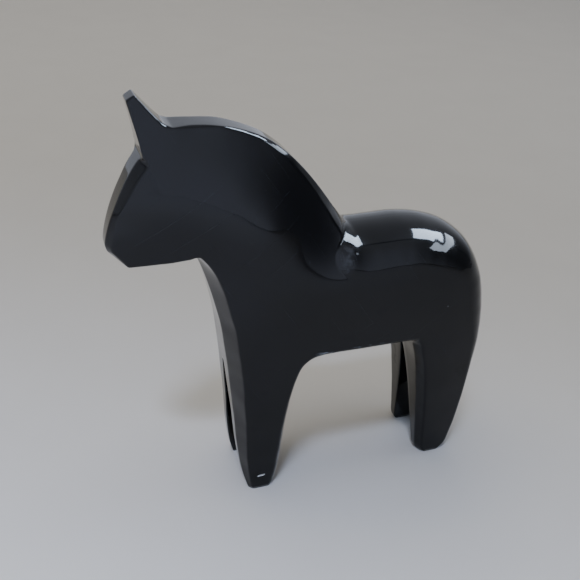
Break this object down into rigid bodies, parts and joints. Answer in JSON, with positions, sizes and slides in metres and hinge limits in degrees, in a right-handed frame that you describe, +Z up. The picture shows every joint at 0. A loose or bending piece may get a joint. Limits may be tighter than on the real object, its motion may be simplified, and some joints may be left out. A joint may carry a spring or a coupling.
{
  "type": "dala horse figurine",
  "caption": "Carved wooden horse with a flat-cut crest, face and chest, rounded back and notched legs, under undecorated glossy black lacquer.",
  "frame": {"origin": "on the ground, under the middle of the horse's length and thickness", "axes": "+Z up from the soles to the ear tip, the head points along -X, the horse's left side faces -Y"},
  "size_m": [0.18, 0.045, 0.2],
  "materials": {
    "pine": "knife-carved and sanded pine",
    "ground_coat": "matt sanded ground coat and filler",
    "black_lacquer": "high-gloss brushed and polished black lacquer"
  },
  "bodies": {
    "root": {"left_half": "pine", "right_half": "pine", "ground_coat": "ground_coat", "lacquer_coat": "black_lacquer"}
  },
  "joints": []
}
